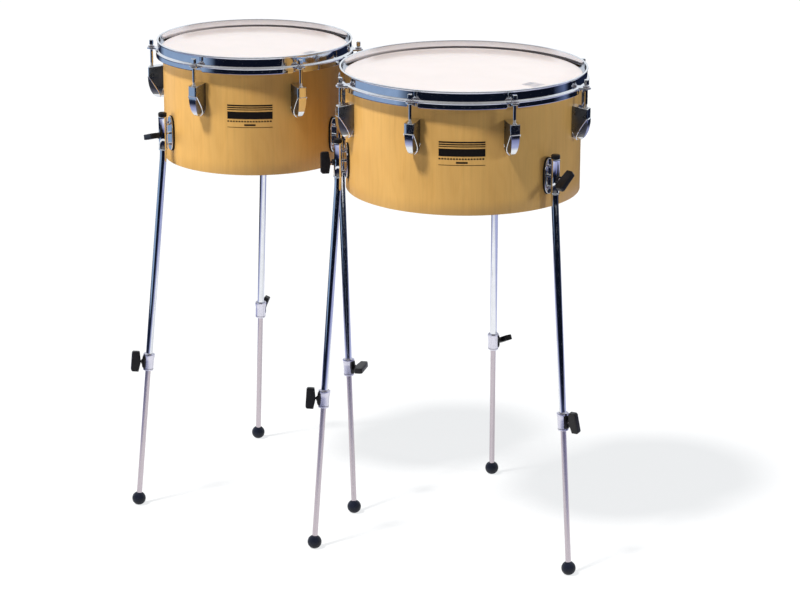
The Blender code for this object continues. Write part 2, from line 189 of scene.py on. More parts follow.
def wood():
    """Birch veneer: upright fibres, soft streaks and a faint arched figure."""
    g = Material("birch")
    x, y, z = g.split(g.place())
    around = g.math("MULTIPLY", g.math("ARCTAN2", y, x), g.reach(x, y))

    def grain(across, upward, detail, rough, layer=0.0):
        """Noise with its own scale round the shell and up it."""
        place = g.combine(g.math("MULTIPLY", around, across),
                          g.math("MULTIPLY", z, upward), layer)
        return g.noise(place, 1.0, detail, rough)

    fibre = grain(1300.0, 22.0, 3.0, 0.6)
    streak = grain(150.0, 3.0, 4.0, 0.6)
    flow = grain(12.0, 3.5, 2.0, 0.5)
    pool = grain(26.0, 11.0, 2.0, 0.5, layer=3.0)
    arch = g.math("SINE", g.math("ADD", g.math("MULTIPLY", around, 90.0),
                                 g.math("MULTIPLY", flow, 70.0)))
    arch = g.math("MULTIPLY_ADD", arch, 0.5, 0.5)
    base = g.mix(flow, (0.630, 0.350, 0.092, 1.0), (0.740, 0.445, 0.140, 1.0))
    tone = g.ramp(streak, (0.30, grey(0.86)), (0.50, grey(1.0)), (0.72, grey(1.07)))
    colour = g.mix(0.45, base, g.mix(1.0, base, tone, "MULTIPLY"))
    fleck = g.ramp(fibre, (0.34, (0.84, 0.79, 0.72)), (0.56, grey(1.01)))
    colour = g.mix(0.26, colour, g.mix(1.0, colour, fleck, "MULTIPLY"))
    ring = g.mix(1.0, colour, (0.93, 0.88, 0.80, 1.0), "MULTIPLY")
    colour = g.mix(g.math("MULTIPLY", g.math("POWER", arch, 4.0), 0.30), colour, ring)
    cloud = g.ramp(pool, (0.35, grey(0.94)), (0.65, grey(1.03)))
    colour = g.mix(0.7, colour, g.mix(1.0, colour, cloud, "MULTIPLY"))
    g.set(Base_Color=colour, Roughness=g.ramp(fibre, (0.3, grey(0.34)),
                                              (0.7, grey(0.44))),
          Specular_IOR_Level=0.42, Coat_Weight=0.15, Coat_Roughness=0.20)
    g.bump(g.math("ADD", fibre, g.math("MULTIPLY", streak, 0.5)), 0.06, 0.0002)
    return g.material


def ply_edge():
    """The sawn edge of the plies, seen from below."""
    g = Material("ply_edge")
    x, y, _ = g.split(g.place())
    stripe = g.math("SINE", g.math("MULTIPLY", g.reach(x, y), 4700.0))
    speck = g.noise(g.place(), 900.0, 3.0, 0.6)
    value = g.math("ADD", g.math("MULTIPLY", stripe, 0.35), speck)
    g.set(Base_Color=g.ramp(value, (0.2, (0.36, 0.20, 0.09)),
                            (0.8, (0.74, 0.52, 0.29))), Roughness=0.6)
    return g.material


def film():
    """Stretched plastic film: white with a warm cast, almost glossy."""
    g = Material("film")
    cloud = g.noise(g.place(), 9.0, 3.0, 0.5)
    fine = g.noise(g.place(), 700.0, 2.0, 0.6)
    g.set(Base_Color=g.ramp(cloud, (0.3, (0.735, 0.655, 0.640)),
                            (0.7, (0.760, 0.680, 0.668))),
          Roughness=g.ramp(cloud, (0.3, grey(0.16)), (0.7, grey(0.24))),
          Specular_IOR_Level=0.55, Subsurface_Weight=0.12,
          Subsurface_Radius=(0.004, 0.003, 0.002), Coat_Weight=0.25,
          Coat_Roughness=0.08)
    g.bump(fine, 0.03, 0.0002)
    return g.material


def chrome(name, tint, rough_low, rough_high, scale=60.0, relief=0.03):
    """Plated steel, with faint clouding and hairline rub marks."""
    g = Material(name)
    cloud = g.noise(g.place(), scale, 3.0, 0.6)
    rub = g.noise(g.place(), scale * 16.0, 2.0, 0.7)
    g.set(Base_Color=g.ramp(cloud, (0.3, [c * 0.93 for c in tint]), (0.7, tint)),
          Metallic=1.0, Roughness=g.ramp(g.math("ADD", cloud,
                                                g.math("MULTIPLY", rub, 0.25)),
                                         (0.35, grey(rough_low)),
                                         (0.80, grey(rough_high))))
    g.bump(g.math("ADD", cloud, g.math("MULTIPLY", rub, 0.15)), relief, 0.0002)
    return g.material


def moulded(name, low, high, rough, grain, strength):
    """Moulded black plastic or rubber with a fine surface grain."""
    g = Material(name)
    cloud = g.noise(g.place(), 90.0, 3.0, 0.5)
    skin = g.noise(g.place(), grain, 2.0, 0.6)
    g.set(Base_Color=g.ramp(cloud, (0.3, low), (0.7, high)),
          Roughness=g.ramp(skin, (0.3, grey(rough - 0.06)), (0.7, grey(rough + 0.08))),
          Specular_IOR_Level=0.3)
    g.bump(skin, strength, 0.0004)
    return g.material


def ink():
    """Black screen print, a little worn."""
    g = Material("print_black")
    wear = g.noise(g.place(), 400.0, 3.0, 0.6)
    g.set(Base_Color=g.ramp(wear, (0.3, (0.005, 0.004, 0.004)),
                            (0.8, (0.012, 0.009, 0.008))), Roughness=0.60,
          Specular_IOR_Level=0.15)
    return g.material


def print_grey():
    """Grey print of the mark on the film."""
    g = Material("print_grey")
    wear = g.noise(g.place(), 300.0, 3.0, 0.6)
    g.set(Base_Color=g.ramp(wear, (0.3, (0.27, 0.27, 0.31)),
                            (0.8, (0.38, 0.38, 0.43))), Roughness=0.40)
    return g.material


LOOKS = {
    "wood": wood(), "ply": ply_edge(), "film": film(),
    "chrome": chrome("chrome_plate", (0.80, 0.82, 0.86), 0.035, 0.075, 60.0, 0.006),
    "cast": chrome("chrome_casting", (0.74, 0.76, 0.79), 0.08, 0.15, 90.0, 0.015),
    # lug casing sides: a darker, rougher copy of the casting, which is painted shade and not
    # another metal
    "shaded_side": chrome("casing_side_painted_shade", (0.20, 0.20, 0.19), 0.24, 0.34, 80.0),
    "satin": chrome("satin_collar", (0.72, 0.71, 0.80), 0.20, 0.30, 40.0, 0.01),
    "steel": chrome("steel_rod", (0.56, 0.50, 0.54), 0.20, 0.26, 25.0, 0.004),
    # a dark ring on each leg collar: painted shade standing in for its groove
    "dark": chrome("painted_groove_shade", (0.10, 0.10, 0.12), 0.30, 0.45),
    "plastic": moulded("moulded_black", (0.004, 0.004, 0.005),
                       (0.009, 0.009, 0.011), 0.34, 1400.0, 0.10),
    "rubber": moulded("ball_rubber", (0.003, 0.005, 0.012),
                      (0.007, 0.010, 0.022), 0.50, 700.0, 0.35),
    "ink": ink(), "mark": print_grey(),
}


# --------------------------------------------------------------------- pieces
def piece(name, bm, look, body, matrix, replaces=(), sharp=35.0, bevel=0.0,
          recalc=True):
    """One shown piece: a mesh with a material that rides on a CAD body."""
    if recalc:
        bmesh.ops.recalc_face_normals(bm, faces=bm.faces[:])
    mesh = bpy.data.meshes.new(name)
    bm.to_mesh(mesh)
    bm.free()
    for key in (look if isinstance(look, tuple) else (look,)):
        mesh.materials.append(LOOKS[key])
    mesh.shade_smooth()
    mesh.set_sharp_from_angle(angle=math.radians(sharp))
    ob = bpy.data.objects.new(name, mesh)
    bpy.context.scene.collection.objects.link(ob)
    ob.matrix_world = matrix
    if bevel:
        mod = ob.modifiers.new("edge", "BEVEL")
        mod.width, mod.segments, mod.limit_method = bevel, 3, "ANGLE"
        mod.angle_limit = math.radians(40)
        mod.harden_normals = False
    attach(ob, body)
    if replaces:
        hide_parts(*replaces)
    return ob


def at(x, y, z, angle=0.0):
    """A place and a turn about Z, in degrees."""
    return Matrix.Translation((x, y, z)) @ Matrix.Rotation(math.radians(angle), 4, "Z")


def bridge(bm, low, high):
    """Faces between two closed rings of corners."""
    for k in range(len(low)):
        n = (k + 1) % len(low)
        bm.faces.new((low[k], low[n], high[n], high[k]))


def lathe(bm, profile, segments=32, ring_closed=False, matrix=Matrix.Identity(4)):
    """Turn (radius, height) points about Z; a zero radius closes an end."""
    rings = []
    for r, z in profile:
        if r < 1e-7:
            rings.append([bm.verts.new(matrix @ Vector((0, 0, z)))])
            continue
        rings.append([bm.verts.new(matrix @ Vector((
            r * math.cos(2 * math.pi * k / segments),
            r * math.sin(2 * math.pi * k / segments), z))) for k in range(segments)])
    pairs = list(zip(rings, rings[1:]))
    if ring_closed:
        pairs.append((rings[-1], rings[0]))
    for a, b in pairs:
        if len(a) == 1 and len(b) == 1:
            continue
        if len(a) == 1 or len(b) == 1:
            tip, loop = (a[0], b) if len(a) == 1 else (b[0], a)
            for k in range(segments):
                bm.faces.new((tip, loop[k], loop[(k + 1) % segments]))
        else:
            bridge(bm, a, b)
    if not ring_closed:
        for loop in (rings[0], rings[-1]):
            if len(loop) > 1:
                bm.faces.new(loop)


def axis_matrix(start, direction):
    """A place whose Z points in the direction."""
    spin = Vector(direction).to_track_quat("Z", "Y").to_matrix().to_4x4()
    return Matrix.Translation(start) @ spin


def prism(bm, outline, thickness, matrix=Matrix.Identity(4)):
    """Outline in the local XZ plane, extruded both ways along Y."""
    half = thickness / 2
    front = [bm.verts.new(matrix @ Vector((x, -half, z))) for x, z in outline]
    back = [bm.verts.new(matrix @ Vector((x, half, z))) for x, z in outline]
    bm.faces.new(front)
    bm.faces.new(list(reversed(back)))
    bridge(bm, back, front)


def sweep_path(bm, points, radius, sides=8):
    """Round bead along a line of points, ends capped."""
    points = [Vector(p) for p in points]
    rings = []
    for i, p in enumerate(points):
        ahead = points[min(i + 1, len(points) - 1)] - points[max(i - 1, 0)]
        turn = ahead.to_track_quat("Z", "Y")
        rings.append([bm.verts.new(p + turn @ Vector((
            radius * math.cos(2 * math.pi * k / sides),
            radius * math.sin(2 * math.pi * k / sides), 0))) for k in range(sides)])
    for a, b in zip(rings, rings[1:]):
        bridge(bm, a, b)
    bm.faces.new(rings[0])
    bm.faces.new(rings[-1])


def sweep_tube(bm, stations, sides=28):
    """Tube through (point, tilt, radius) stations in the local XZ plane."""
    rings = []
    for (x, z), tilt, radius in stations:
        rings.append([bm.verts.new((
            x + radius * math.cos(2 * math.pi * k / sides) * math.cos(tilt),
            radius * math.sin(2 * math.pi * k / sides),
            z + radius * math.cos(2 * math.pi * k / sides) * math.sin(tilt)))
            for k in range(sides)])
    for a, b in zip(rings, rings[1:]):
        bridge(bm, a, b)
    bm.faces.new(rings[0])
    bm.faces.new(rings[-1])


def on_leg(z):
    """Where a leg's sloping line is at a height, seen from its bend."""
    return ((BEND_Z - z) * math.tan(TILT), z - BEND_Z)


def straight(z, radius):
    """Station of a tube on the leg's sloping line."""
    return (on_leg(z), TILT, radius)


def along_leg(swivel_frame, z):
    """A place on the leg's sloping line, whose Z points up the line."""
    x, below = on_leg(z)
    return swivel_frame @ Matrix.Translation((x, 0, below)) @ Matrix.Rotation(-TILT, 4, "Y")


# --------------------------------------------------------------- drum pieces
def shell(drum, radius, centre):
    """Shell with rounded lips; its two edges show the plies."""
    bm = bmesh.new()
    inner, e = radius - SHELL_WALL, 0.0008
    profile = [(radius - e, SHELL_BOTTOM), (radius - e * 0.3, SHELL_BOTTOM + e * 0.3),
               (radius, SHELL_BOTTOM + e)]
    for k in range(1, 8):
        profile.append((radius, SHELL_BOTTOM + e + (SHELL_TOP - SHELL_BOTTOM - 0.003) * k / 8))
    profile += [(radius, SHELL_TOP - 0.0022), (radius - 0.0006, SHELL_TOP - 0.0008),
                (radius - 0.0018, SHELL_TOP - 0.0001), (radius - 0.0040, SHELL_TOP - 0.0004),
                (inner, SHELL_TOP - 0.0034), (inner, SHELL_BOTTOM + e),
                (inner + e * 0.3, SHELL_BOTTOM + e * 0.3), (inner + e, SHELL_BOTTOM)]
    lathe(bm, profile, RING, ring_closed=True)
    bmesh.ops.recalc_face_normals(bm, faces=bm.faces[:])
    for face in bm.faces:
        if abs(face.normal.z) > 0.7:
            face.material_index = 1
    piece(drum + "_wood_shell", bm, ("wood", "ply"), drum + "_drum",
          at(*centre, 0), (drum + "_shell",), recalc=False)


def head(drum, radius, centre):
    """Film with a crowned collar over the bearing edge, and its flesh hoop."""
    film_z = RIM_TOP - FILM_DROP
    bm = bmesh.new()
    under = film_z - 0.0008
    lathe(bm, [(0, film_z), (radius * 0.5, film_z), (radius - 0.006, film_z),
               (radius - 0.001, film_z), (radius + 0.0010, film_z - 0.0004),
               (radius + 0.0018, film_z - 0.0016), (radius + 0.0020, film_z - 0.0060),
               (radius + 0.0009, film_z - 0.0060), (radius + 0.0007, film_z - 0.0022),
               (radius, under - 0.0002), (radius - 0.001, under), (0, under)], RING)
    piece(drum + "_film", bm, "film", drum + "_drum", at(*centre, 0),
          (drum + "_head",))
    bm = bmesh.new()
    a, b = radius + 0.0007, radius + 0.0080
    top, low = RIM_TOP - 0.0214, RIM_TOP - 0.0289
    lathe(bm, [(a, low), (b - 0.001, low), (b, low + 0.001), (b, top - 0.001),
               (b - 0.001, top), (a, top)], RING, ring_closed=True)
    piece(drum + "_flesh_hoop", bm, "cast", drum + "_drum", at(*centre, 0))


def skirt_low(radius, lugs, angle):
    """How far below the rim top the skirt ends: it is notched at each ear."""
    full, cut, half, blend = 0.0304, 0.0226, 0.0080, 0.0036
    flange = radius + 0.012
    low = full
    for lug in lugs:
        away = abs((angle - lug + 180) % 360 - 180)
        arc = math.radians(away) * flange
        if arc < half + blend:
            rise = max(0.0, (arc - half) / blend)
            low = cut + (full - cut) * math.sqrt(1 - (1 - rise) ** 2)
    return low


def hoop_section(low):
    """Cut through the counterhoop, outward from the shell and up from the rim top."""
    lip = [(0.0068, -0.0016), (0.0068, -0.0012), (0.0072, -0.0004), (0.0082, 0.0),
           (0.0094, -0.0001), (0.0102, -0.0006), (0.0105, -0.0015), (0.0102, -0.0025),
           (0.0096, -0.0031), (0.0092, -0.0038), (0.0092, -0.0042)]
    band = [(0.0092, -0.0170), (0.0092, -0.0174)]
    bead = [(0.0096, -0.0181), (0.0108, -0.0188), (0.0120, -0.0192), (0.0126, -0.0199),
            (0.0127, -0.0207), (0.0124, -0.0214), (0.0120, -0.0219), (0.0120, -0.0222)]
    skirt = [(0.0124, min(-0.0225, low + 0.0015)), (0.0124, min(-0.0226, low + 0.0012)),
             (0.0122, low + 0.0003), (0.0114, low), (0.0106, low + 0.0004),
             (0.0103, min(-0.0225, low + 0.0014))]
    inside = [(0.0099, -0.0218), (0.0092, -0.0211), (0.0070, -0.0209), (0.0068, -0.0205)]
    return lip + band + bead + skirt + inside


def hoop(drum, radius, centre, lugs):
    """Pressed counterhoop: rolled lip, band, flange bead and notched skirt."""
    bm = bmesh.new()
    count = len(lugs) * (108 if drum == "large" else 120)
    rings = []
    for k in range(count):
        angle = 360.0 * k / count
        section = hoop_section(-skirt_low(radius, lugs, angle))
        turn = math.radians(angle)
        rings.append([bm.verts.new(((radius + r) * math.cos(turn),
                                    (radius + r) * math.sin(turn), RIM_TOP + z))
                      for r, z in section])
    for k in range(count):
        bridge(bm, rings[k], rings[(k + 1) % count])
    piece(drum + "_rim", bm, "chrome", drum + "_drum", at(*centre, 0),
          (drum + "_counterhoop",), sharp=50)
    for number, lug in enumerate(lugs, 1):
        ear = bmesh.new()
        ear_plate(ear, radius)
        piece(f"{drum}_rim_ear_{number}", ear, "chrome", drum + "_drum",
              at(*centre, 0, lug), bevel=0.0006)


def ear_plate(bm, radius):
    """Flat ear with a round end and a hole that the rod passes."""
    centre, r_out, r_in, n = radius + ROD_CIRCLE, 0.0080, 0.0036, 24
    outer, inner = [], []
    for k in range(n):
        a = 2 * math.pi * k / n
        c, s = math.cos(a), math.sin(a)
        x = centre + r_out * c
        y = r_out * s
        if c < -0.3:
            x, y = radius + 0.0112, math.copysign(0.0118, s) * min(1, abs(s) / 0.90)
        outer.append((x, y))
        inner.append((centre + r_in * c, r_in * s))
    levels = []
    for z in (EAR_TOP, EAR_BOTTOM):
        levels.append(([bm.verts.new((x, y, z)) for x, y in outer],
                       [bm.verts.new((x, y, z)) for x, y in inner]))
    (ot, it), (ob, ib) = levels
    bridge(bm, ot, it)
    bridge(bm, ib, ob)
    bridge(bm, ob, ot)
    bridge(bm, it, ib)


def casing_level(drop):
    """Level cut of a lug casing: its reach at the belly line and at the front,
    and its half width at the sides and at the front."""
    if drop < LUG_STEP:
        front = LUG_DEPTH - 0.0008
        return front - LUG_EDGE, front, LUG_HALF, LUG_FACE
    turn = math.asin(min(1.0, (drop - LUG_STEP) / (LUG_HEIGHT - LUG_STEP)))
    front = KEEL_DEPTH + (LUG_DEPTH - KEEL_DEPTH) * math.cos(turn)
    belly = 0.0115 * math.sin(2 * turn) ** 0.9
    line = max(front - LUG_EDGE - belly, 0.0022)
    heel = max(0.0, (drop - HEEL_DROP) / (LUG_HEIGHT - HEEL_DROP))
    side = LUG_HALF * math.sqrt(max(0.0, 1 - heel ** 2))
    return line, front, side, min(side, 0.0078 * math.cos(turn) ** 0.7)


def casing(bm):
    """Recessed upper front, step line, belly that narrows to a keel."""
    drops = [0.0, LUG_ROUND, 0.0020, 0.0110, LUG_STEP - 0.0006, LUG_STEP]
    drops += [LUG_STEP + (LUG_HEIGHT - LUG_STEP) * math.sin(math.radians(85 * k / 18))
              for k in range(1, 19)]
    rings = []
    for drop in drops:
        line, front, side, face = casing_level(drop)
        inset = max(0.0, LUG_ROUND - drop)
        slope = LUG_SLOPE * max(0.0, 1 - drop / LUG_STEP)
        middle = (line + 2 * front) / 3
        half = [(-0.0012, side - inset), (line, side - inset),
                (middle, side * 0.35 + face * 0.65 - inset),
                (front - inset, face * 0.92 - inset), (front, face * 0.35)]
        loop = half + [(x, -y) for x, y in reversed(half)]
        rings.append([bm.verts.new((x, y, -drop - slope * max(0.0, x) / LUG_DEPTH))
                      for x, y in loop])
    for a, b in zip(rings, rings[1:]):
        bridge(bm, a, b)
    bm.faces.new(rings[0])
    bm.faces.new(rings[-1])
    bmesh.ops.recalc_face_normals(bm, faces=bm.faces[:])
    # The sides take the second, darker material: painted shade on the same casting.
    for face in bm.faces:
        if abs(face.normal.y) > 0.9:
            face.material_index = 1


def casing_ribs(bm):
    """Beads down both sides, along the belly line and the keel, and on the step."""
    for side in (-1, 1):
        belly, keel = [], []
        for k in range(23):
            drop = LUG_STEP + (LUG_HEIGHT - LUG_STEP) * math.sin(math.radians(82 * k / 22))
            line, _, half, _ = casing_level(drop)
            belly.append((line, side * (half + 0.0001), -drop))
        run = LUG_HEIGHT - 0.0002 - HEEL_DROP
        for k in range(11):
            drop = HEEL_DROP + run * math.sin(math.radians(88 * k / 10))
            half = casing_level(drop)[2]
            keel.append((0.0004 + 0.0080 * k / 10, side * half, -drop))
        sweep_path(bm, belly, 0.0009)
        sweep_path(bm, keel, 0.0006)
    front = LUG_DEPTH - 0.0004
    sweep_path(bm, [(front, -LUG_FACE, -LUG_STEP), (front, LUG_FACE, -LUG_STEP)], 0.0008)


def lugs(drum, radius, centre, angles):
    """Lug casings, each with its ribs and the swivel nut that takes its rod."""
    for number, angle in enumerate(angles, 1):
        place = at(*centre, 0, angle) @ Matrix.Translation((radius, 0, LUG_TOP))
        name = f"{drum}_lug_{number}"
        bm = bmesh.new()
        casing(bm)
        # The casing's sides carry painted shade, a darker copy of the casting.
        piece(name + "_casing", bm, ("cast", "shaded_side"), drum + "_drum", place, sharp=38)
        bm = bmesh.new()
        casing_ribs(bm)
        piece(name + "_ribs", bm, "chrome", drum + "_drum", place)
        bm = bmesh.new()
        lathe(bm, [(0.0032, -0.002), (0.0045, -0.002), (0.0045, 0.0006),
                   (0.0041, 0.0010), (0.0036, 0.0010), (0.0032, 0.0006)], 24,
              ring_closed=True, matrix=Matrix.Translation((ROD_CIRCLE, 0, -0.0034)))
        piece(name + "_swivel_nut", bm, "chrome", drum + "_drum", place)


def tension_rod(drum, number, radius, centre, angle):
    """Square-headed rod with a collar, a washer and a threaded tip."""
    body = f"{drum}_tension_rod_{number}"
    seat = EAR_TOP + 0.0003
    place = at(*centre, 0, angle) @ Matrix.Translation((radius + ROD_CIRCLE, 0, seat))
    bm = bmesh.new()
    half, corner, low, high = 0.0035, 0.72, 0.0046, 0.0132
    outline = ((1, corner), (corner, 1), (-corner, 1), (-1, corner),
               (-1, -corner), (-corner, -1), (corner, -1), (1, -corner))
    square = []
    for z, s in ((low, half), (high - 0.0008, half), (high, half - 0.0009)):
        square.append([bm.verts.new((x * s, y * s, z)) for x, y in outline])
    for a, b in zip(square, square[1:]):
        bridge(bm, a, b)
    bm.faces.new(square[0])
    bm.faces.new(square[-1])
    lathe(bm, [(0, 0.0016), (0.0054, 0.0016), (0.0056, 0.0020), (0.0054, 0.0026),
               (0.0034, 0.0029), (0.0030, 0.0044), (0, 0.0044)], 24)
    piece(body + "_head", bm, "chrome", body, place, (body,), bevel=0.0003)
    bm = bmesh.new()
    lathe(bm, [(0.0031, 0.0002), (0.0056, 0.0), (0.0059, 0.0004), (0.0058, 0.0012),
               (0.0050, 0.0016), (0.0031, 0.0016)], 28, ring_closed=True)
    piece(body + "_washer", bm, "steel", body, place)
    bm = bmesh.new()
    crest, root, pitch, z = 0.00275, 0.00245, 0.0008, -0.0290
    profile = [(0, 0.002), (crest, 0.002), (crest, z)]
    for _ in range(20):
        profile += [(root, z - pitch / 2), (crest, z - pitch)]
        z -= pitch
    profile += [(0.0022, -0.0515), (0, -0.0520)]
    lathe(bm, profile, 16)
    piece(body + "_shank", bm, "chrome", body, place)


# ---------------------------------------------------------------- leg pieces
def oval(width, height, n=40):
    """Outline of a full ellipse, squarer than a plain one."""
    points = []
    for k in range(n):
        a = 2 * math.pi * (k + 0.5) / n
        c, s = math.cos(a), math.sin(a)
        points.append((math.copysign(abs(c) ** PLATE_FULLNESS, c) * width / 2,
                       math.copysign(abs(s) ** PLATE_FULLNESS, s) * height / 2))
    return points


def bracket(drum, side, radius, radial):
    """Oval plate on a black gasket, webs, boss and the clamp sleeve."""
    body, name = drum + "_drum", f"{drum}_{side}_bracket"
    standing = radial @ Matrix.Translation((radius, 0, 0))
    bm = bmesh.new()
    flat = at(0.0014, 0, PLATE_Z, 90)
    prism(bm, oval(PLATE_W, PLATE_H), 0.0020, flat)
    piece(name + "_gasket", bm, "plastic", body, standing, bevel=0.0003)
    bm = bmesh.new()
    prism(bm, oval(PLATE_W - 0.0026, PLATE_H - 0.0026), 0.0026, at(0.0036, 0, PLATE_Z, 90))
    piece(name + "_plate", bm, "cast", body, standing,
          (f"{drum}_{side}_leg_bracket",), bevel=0.0009)
    bm = bmesh.new()
    for z in WEBS:
        prism(bm, [(0.0040, z - 0.0024), (0.0078, z - 0.0015), (0.0118, z - 0.0022),
                   (0.0118, z + 0.0022), (0.0078, z + 0.0015), (0.0040, z + 0.0024)],
              0.0062)
    piece(name + "_webs", bm, "cast", body, standing, bevel=0.0006)
    bm = bmesh.new()
    r, w = SLEEVE_R, 0.0008
    lathe(bm, [(r - 0.0009, SLEEVE_TOP), (r, SLEEVE_TOP - w), (r, SLEEVE_TOP - 0.0040),
               (r - 0.0003, SLEEVE_TOP - 0.0046), (r - 0.0003, SLEEVE_BOTTOM + 0.0046),
               (r, SLEEVE_BOTTOM + 0.0040), (r, SLEEVE_BOTTOM + w),
               (r - 0.0009, SLEEVE_BOTTOM), (r - 0.0013, SLEEVE_BOTTOM + 0.0004),
               (r - 0.0013, SLEEVE_TOP - 0.0004)], 36, ring_closed=True,
          matrix=Matrix.Translation((SLEEVE_OFFSET, 0, 0)))
    piece(name + "_sleeve", bm, "chrome", body, standing)
    bm = bmesh.new()
    boss = axis_matrix((SLEEVE_OFFSET, 0, UPPER_WING_Z), (1, 0, 0))
    lathe(bm, [(0.0030, 0.0066), (0.0056, 0.0066), (0.0056, 0.0094), (0.0052, 0.0104),
               (0.0034, 0.0104), (0.0030, 0.0100)], 28, ring_closed=True, matrix=boss)
    piece(name + "_boss", bm, "plastic", body, standing)
    for number, (y, z) in enumerate(((-0.0062, -0.0190), (-0.0062, 0.0190),
                                     (0.0062, -0.0190), (0.0062, 0.0190)), 1):
        bm = bmesh.new()
        screw = axis_matrix((0.0048, y, PLATE_Z + z), (1, 0, 0))
        lathe(bm, [(0, 0.0), (0.0027, 0.0), (0.0027, 0.0006), (0.0021, 0.0014),
                   (0.0011, 0.0017), (0.0010, 0.0009), (0, 0.0008)], 20, matrix=screw)
        piece(f"{name}_screw_{number}", bm, "steel", body, standing)


def upper_leg(drum, side, swivel_frame, collar_turn):
    """Bent tube, black end cap, and the flared clamp collar, with a thin dark ring of painted
    shade for its groove.
    """
    body = f"{drum}_{side}_upper_leg"
    top = SLEEVE_TOP + 0.0003 - BEND_Z
    bm = bmesh.new()
    stations = [((0, z), 0, TUBE_R) for z in (top + 0.001, 0.03, 0.012, BEND_RUN / 2)]
    bend = BEND_RUN * math.tan(TILT) / 2
    for k in range(1, 8):
        share = k / 8
        z = BEND_RUN / 2 - BEND_RUN * share
        stations.append(((bend * share ** 2, z), TILT * share, TUBE_R))
    stations += [straight(BEND_Z - drop, TUBE_R) for drop in (0.010, 0.10, 0.20, 0.30)]
    stations.append(straight(COLLAR_TOP - 0.004, TUBE_R))
    sweep_tube(bm, stations)
    piece(body + "_tube", bm, "chrome", body, swivel_frame, (body,))
    bm = bmesh.new()
    lathe(bm, [(0, top + 0.0072), (0.0056, top + 0.0072), (0.0070, top + 0.0066),
               (0.0077, top + 0.0054), (0.0078, top + 0.0030), (0.0074, top),
               (0.0064, top), (0.0064, top + 0.0010), (0, top + 0.0010)], 32)
    piece(body + "_end_cap", bm, "plastic", body, swivel_frame)
    lean = along_leg(swivel_frame, COLLAR_BOTTOM)
    length = (COLLAR_TOP - COLLAR_BOTTOM) / math.cos(TILT)
    bm = bmesh.new()
    lathe(bm, [(0.0054, 0.0), (0.0088, 0.0), (0.0093, 0.0005), (0.0094, 0.0040),
               (0.0094, length - 0.0125), (0.0098, length - 0.0085),
               (0.0104, length - 0.0045), (0.0106, length - 0.0014),
               (0.0104, length - 0.0003), (0.0097, length), (0.0088, length - 0.0006),
               (0.0078, length - 0.0036), (0.0065, length - 0.0046),
               (0.0054, length - 0.0050)], 40, ring_closed=True)
    piece(body + "_collar", bm, "satin", body, lean)
    turned = lean @ Matrix.Rotation(math.radians(collar_turn), 4, "Z")
    piece(body + "_saddle", collar_saddle(), "plastic", body, turned, bevel=0.0006)
    bm = bmesh.new()
    up = (LOWER_WING_Z - COLLAR_BOTTOM) / math.cos(TILT)
    boss = axis_matrix((0, 0, up), (1, 0, 0))
    lathe(bm, [(0.0030, 0.0100), (0.0046, 0.0100), (0.0045, 0.0128), (0.0041, 0.0134),
               (0.0034, 0.0134), (0.0030, 0.0130)], 28, ring_closed=True, matrix=boss)
    piece(body + "_boss", bm, "plastic", body, turned)
    bm = bmesh.new()
    # Thin dark ring just proud of the collar: painted shade where the groove would be.
    lathe(bm, [(0.0090, 0.0030), (0.00955, 0.0030), (0.00955, 0.0038), (0.0090, 0.0038)],
          40, ring_closed=True)
    piece(body + "_collar_groove_shade", bm, "dark", body, lean)


def collar_saddle():
    """Black jaw that hugs the collar on the side of its wing screw."""
    bm = bmesh.new()
    rows = []
    steps, low, high = 10, 0.0045, 0.0268
    for r_in, r_out, z in ((0.0093, 0.0110, low), (0.0093, 0.0122, low + 0.0040),
                           (0.0093, 0.0122, high - 0.0070), (0.0104, 0.0114, high)):
        for r in (r_in, r_out):
            line = []
            for k in range(steps + 1):
                a = math.radians(-46 + 92 * k / steps)
                line.append(bm.verts.new((r * math.cos(a), r * math.sin(a), z)))
            rows.append(line)
    loops = [list(rows[i]) + list(reversed(rows[i + 1])) for i in range(0, len(rows), 2)]
    for a, b in zip(loops, loops[1:]):
        bridge(bm, a, b)
    bm.faces.new(loops[0])
    bm.faces.new(loops[-1])
    return bm


def lower_leg(drum, side, swivel_frame):
    """Telescopic rod with a rounded end, and its rubber ball foot."""
    body = f"{drum}_{side}_lower_leg"
    bm = bmesh.new()
    sweep_tube(bm, [straight(FOOT_Z - 0.002, LOWER_R), straight(0.10, LOWER_R),
                    straight(0.20, LOWER_R), straight(0.30, LOWER_R),
                    straight(COLLAR_BOTTOM + 0.158, LOWER_R),
                    straight(COLLAR_BOTTOM + 0.159, LOWER_R - 0.0009)], 24)
    piece(body + "_rod", bm, "steel", body, swivel_frame, (body,))
    x, z = on_leg(FOOT_Z)
    place = swivel_frame @ Matrix.Translation((x, 0, z)) @ Matrix.Rotation(-TILT, 4, "Y")
    bm = bmesh.new()
    profile = [(0.0, -FOOT_R)]
    for k in range(1, 27):
        a = math.radians(-90 + 156 * k / 26)
        profile.append((FOOT_R * math.cos(a), FOOT_R * math.sin(a)))
    profile += [(0.0050, 0.0112), (0.0050, 0.0), (0.0, 0.0)]
    lathe(bm, profile, 40)
    floor_local = place.inverted()
    for v in bm.verts:
        world = place @ v.co
        if world.z < 0.0:
            world.z = 0.0
            v.co = floor_local @ world
    piece(f"{drum}_{side}_ball_foot", bm, "rubber", body, place,
          (f"{drum}_{side}_foot",), sharp=60)


